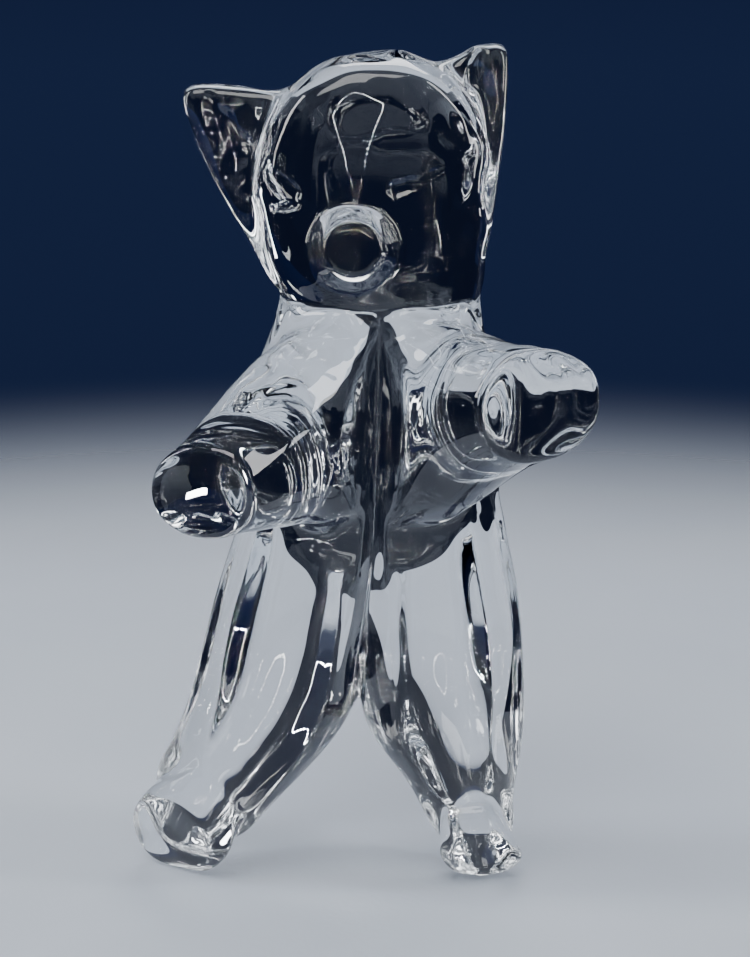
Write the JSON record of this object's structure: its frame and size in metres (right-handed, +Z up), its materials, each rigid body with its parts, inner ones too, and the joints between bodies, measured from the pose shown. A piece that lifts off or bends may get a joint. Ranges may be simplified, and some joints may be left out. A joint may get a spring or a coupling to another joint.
{
  "type": "glass bear figurine",
  "caption": "Standing bear figurine of solid clear hot-worked glass, arms held forward, one foot splayed; a free-standing ornament for a shelf or cabinet.",
  "frame": {"origin": "centre of the bear's overall footprint, on the surface its feet stand on", "axes": "+Z up through the standing bear, which faces -Y, so its own left side is at +X"},
  "size_m": [0.0886, 0.0676, 0.1702],
  "materials": {
    "crystal": "clear, fire-polished, colourless"
  },
  "bodies": {
    "root": {"torso": "crystal", "head": "crystal", "muzzle": "crystal", "right_ear": "crystal", "left_ear": "crystal", "right_arm": "crystal", "left_arm": "crystal", "right_leg": "crystal", "left_leg": "crystal"}
  },
  "joints": []
}
